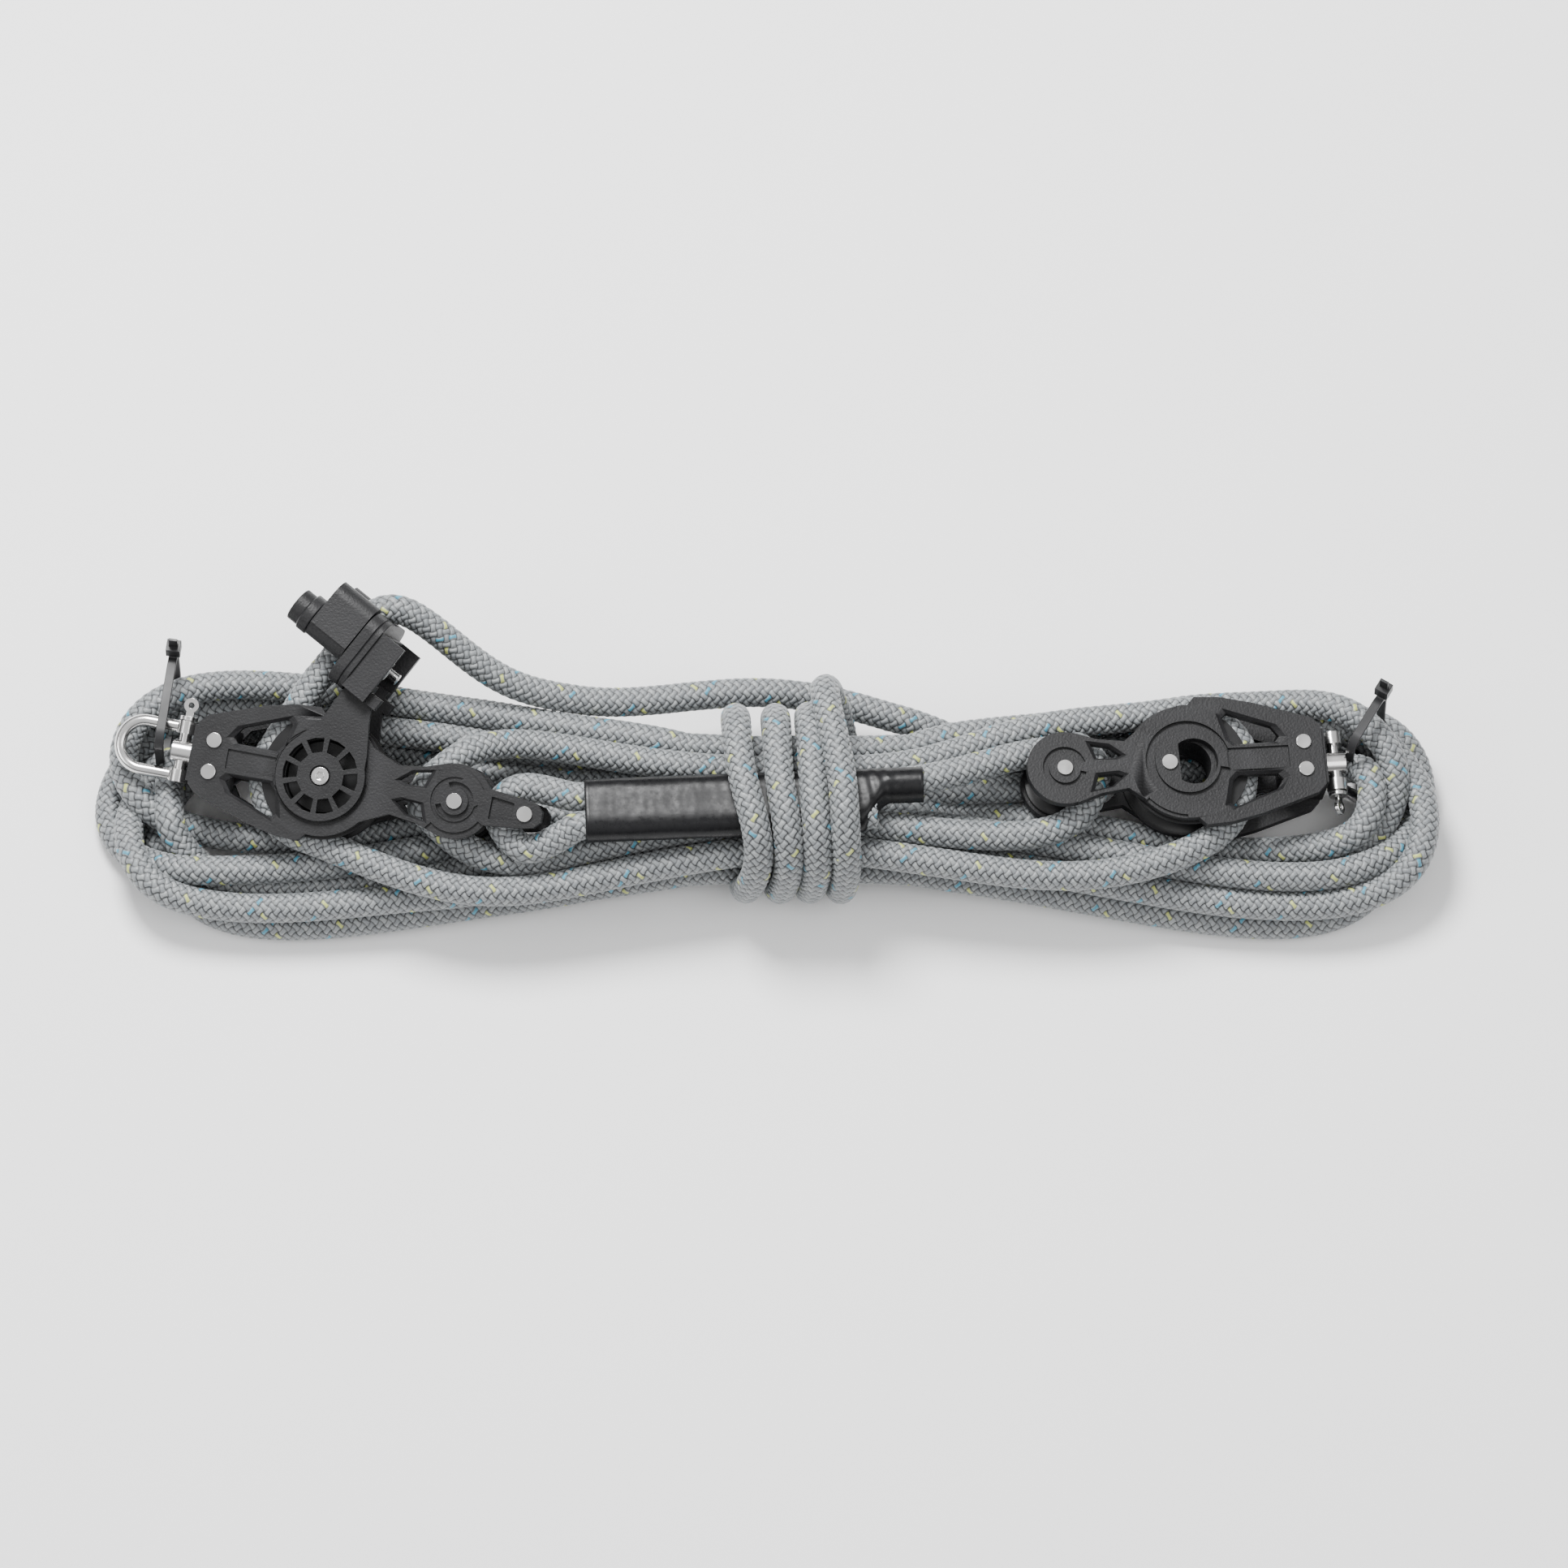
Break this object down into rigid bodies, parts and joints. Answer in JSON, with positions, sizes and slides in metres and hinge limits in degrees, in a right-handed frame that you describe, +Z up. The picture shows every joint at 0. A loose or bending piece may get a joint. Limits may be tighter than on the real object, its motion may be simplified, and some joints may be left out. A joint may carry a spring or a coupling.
{
  "type": "rope tackle",
  "caption": "Hanked rope tackle: a fiddle block with cam cleat and becket and a plain fiddle block, each with a swivel shackle, rove with braided rope that is bound by wraps.",
  "frame": {"origin": "centre of the bounding box's bottom face, on the surface the hank lies on", "axes": "+X along the hank, from the cam block to the plain block; +Y towards the cleat's side; +Z up"},
  "size_m": [0.5468, 0.1358, 0.0845],
  "materials": {
    "moulding": "fine matt grain, glass-filled nylon",
    "sheave": "smooth satin moulding",
    "steel": "polished stainless",
    "rope": "braided polyester with blue and yellow-green tracers",
    "sleeve": "heat-shrunk tube, soft gloss with creases",
    "tie": "satin nylon"
  },
  "bodies": {
    "tackle": {"cam_cheek_near": "moulding", "cam_cheek_far": "moulding", "cam_head": "moulding", "cam_main_bush": "sheave", "cam_axle_screw": "steel", "cam_small_axle": "steel", "cam_head_rivets": "steel", "becket_pin": "steel", "cleat_arm": "moulding", "cleat_base": "moulding", "jaw_springs": "steel", "jaw_caps": "moulding", "cleat_bolts": "steel", "cleat_nuts": "steel", "plain_cheek_near": "moulding", "plain_cheek_far": "moulding", "plain_head": "moulding", "plain_main_race": "moulding", "plain_main_rivet": "steel", "plain_small_axle": "steel", "plain_head_rivets": "steel", "eye_sleeve": "sleeve", "rope_in_sheaves": "rope", "rope_eye": "rope", "rope_run_one": "rope", "rope_run_two": "rope", "rope_run_three": "rope", "rope_run_four": "rope", "rope_cleat_run": "rope", "rope_wraps": "rope", "rope_hank": "rope", "cable_tie_left": "tie", "cable_tie_right": "tie"},
    "cam_main": {"cam_main_sheave": "sheave"},
    "cam_small": {"cam_small_sheave": "sheave"},
    "cam_post": {"cam_swivel": "steel"},
    "cam_shackle": {"cam_shackle_bow": "steel", "cam_shackle_pin": "steel"},
    "jaw_one": {"jaw_near": "moulding"},
    "jaw_two": {"jaw_far": "moulding"},
    "plain_main": {"plain_main_sheave": "sheave"},
    "plain_small": {"plain_small_sheave": "sheave"},
    "plain_post": {"plain_swivel": "steel"},
    "plain_shackle": {"plain_shackle_bow": "steel", "plain_shackle_pin": "steel"}
  },
  "joints": [
    {"name": "cam_main_spin", "type": "hinge", "parent": "tackle", "child": "cam_main", "pos_m": [-0.177, -0.011, 0.042], "axis": [-0.1392, -0.306, 0.9418], "continuous": true},
    {"name": "cam_small_spin", "type": "hinge", "parent": "tackle", "child": "cam_small", "pos_m": [-0.12354, -0.0233, 0.0459], "axis": [-0.1392, -0.306, 0.9418], "continuous": true},
    {"name": "cam_swivel_turn", "type": "hinge", "parent": "tackle", "child": "cam_post", "pos_m": [-0.2256, 0.00018, 0.03845], "axis": [-0.9721, 0.2237, -0.071], "range_deg": [-8, 8]},
    {"name": "cam_shackle_tilt", "type": "hinge", "parent": "cam_post", "child": "cam_shackle", "pos_m": [-0.23474, 0.00229, 0.03778], "axis": [-0.189, -0.9254, -0.3286], "range_deg": [-4, 6]},
    {"name": "jaw_one_open", "type": "hinge", "parent": "tackle", "child": "jaw_one", "pos_m": [-0.17349, 0.03926, 0.07318], "axis": [0.7685, -0.6332, -0.0922], "range_deg": [0, 35], "stiffness_Nm_per_rad": 0.02, "springref_deg": -10},
    {"name": "jaw_two_open", "type": "hinge", "parent": "tackle", "child": "jaw_two", "pos_m": [-0.16973, 0.04752, 0.04775], "axis": [-0.7685, 0.6332, 0.0922], "range_deg": [0, 35], "stiffness_Nm_per_rad": 0.02, "springref_deg": -10},
    {"name": "plain_main_spin", "type": "hinge", "parent": "tackle", "child": "plain_main", "pos_m": [0.1673, -0.0064, 0.038], "axis": [0.1045, -0.0347, 0.9939], "continuous": true},
    {"name": "plain_small_spin", "type": "hinge", "parent": "tackle", "child": "plain_small", "pos_m": [0.11779, -0.01128, 0.04304], "axis": [0.1045, -0.0347, 0.9939], "continuous": true},
    {"name": "plain_swivel_turn", "type": "hinge", "parent": "tackle", "child": "plain_post", "pos_m": [0.21879, -0.00132, 0.03276], "axis": [0.9901, 0.0977, -0.1007], "range_deg": [-7, 7]},
    {"name": "plain_shackle_tilt", "type": "hinge", "parent": "plain_post", "child": "plain_shackle", "pos_m": [0.22789, -0.00042, 0.03184], "axis": [-0.0936, 0.9946, 0.0446], "range_deg": [-6, 2]}
  ]
}
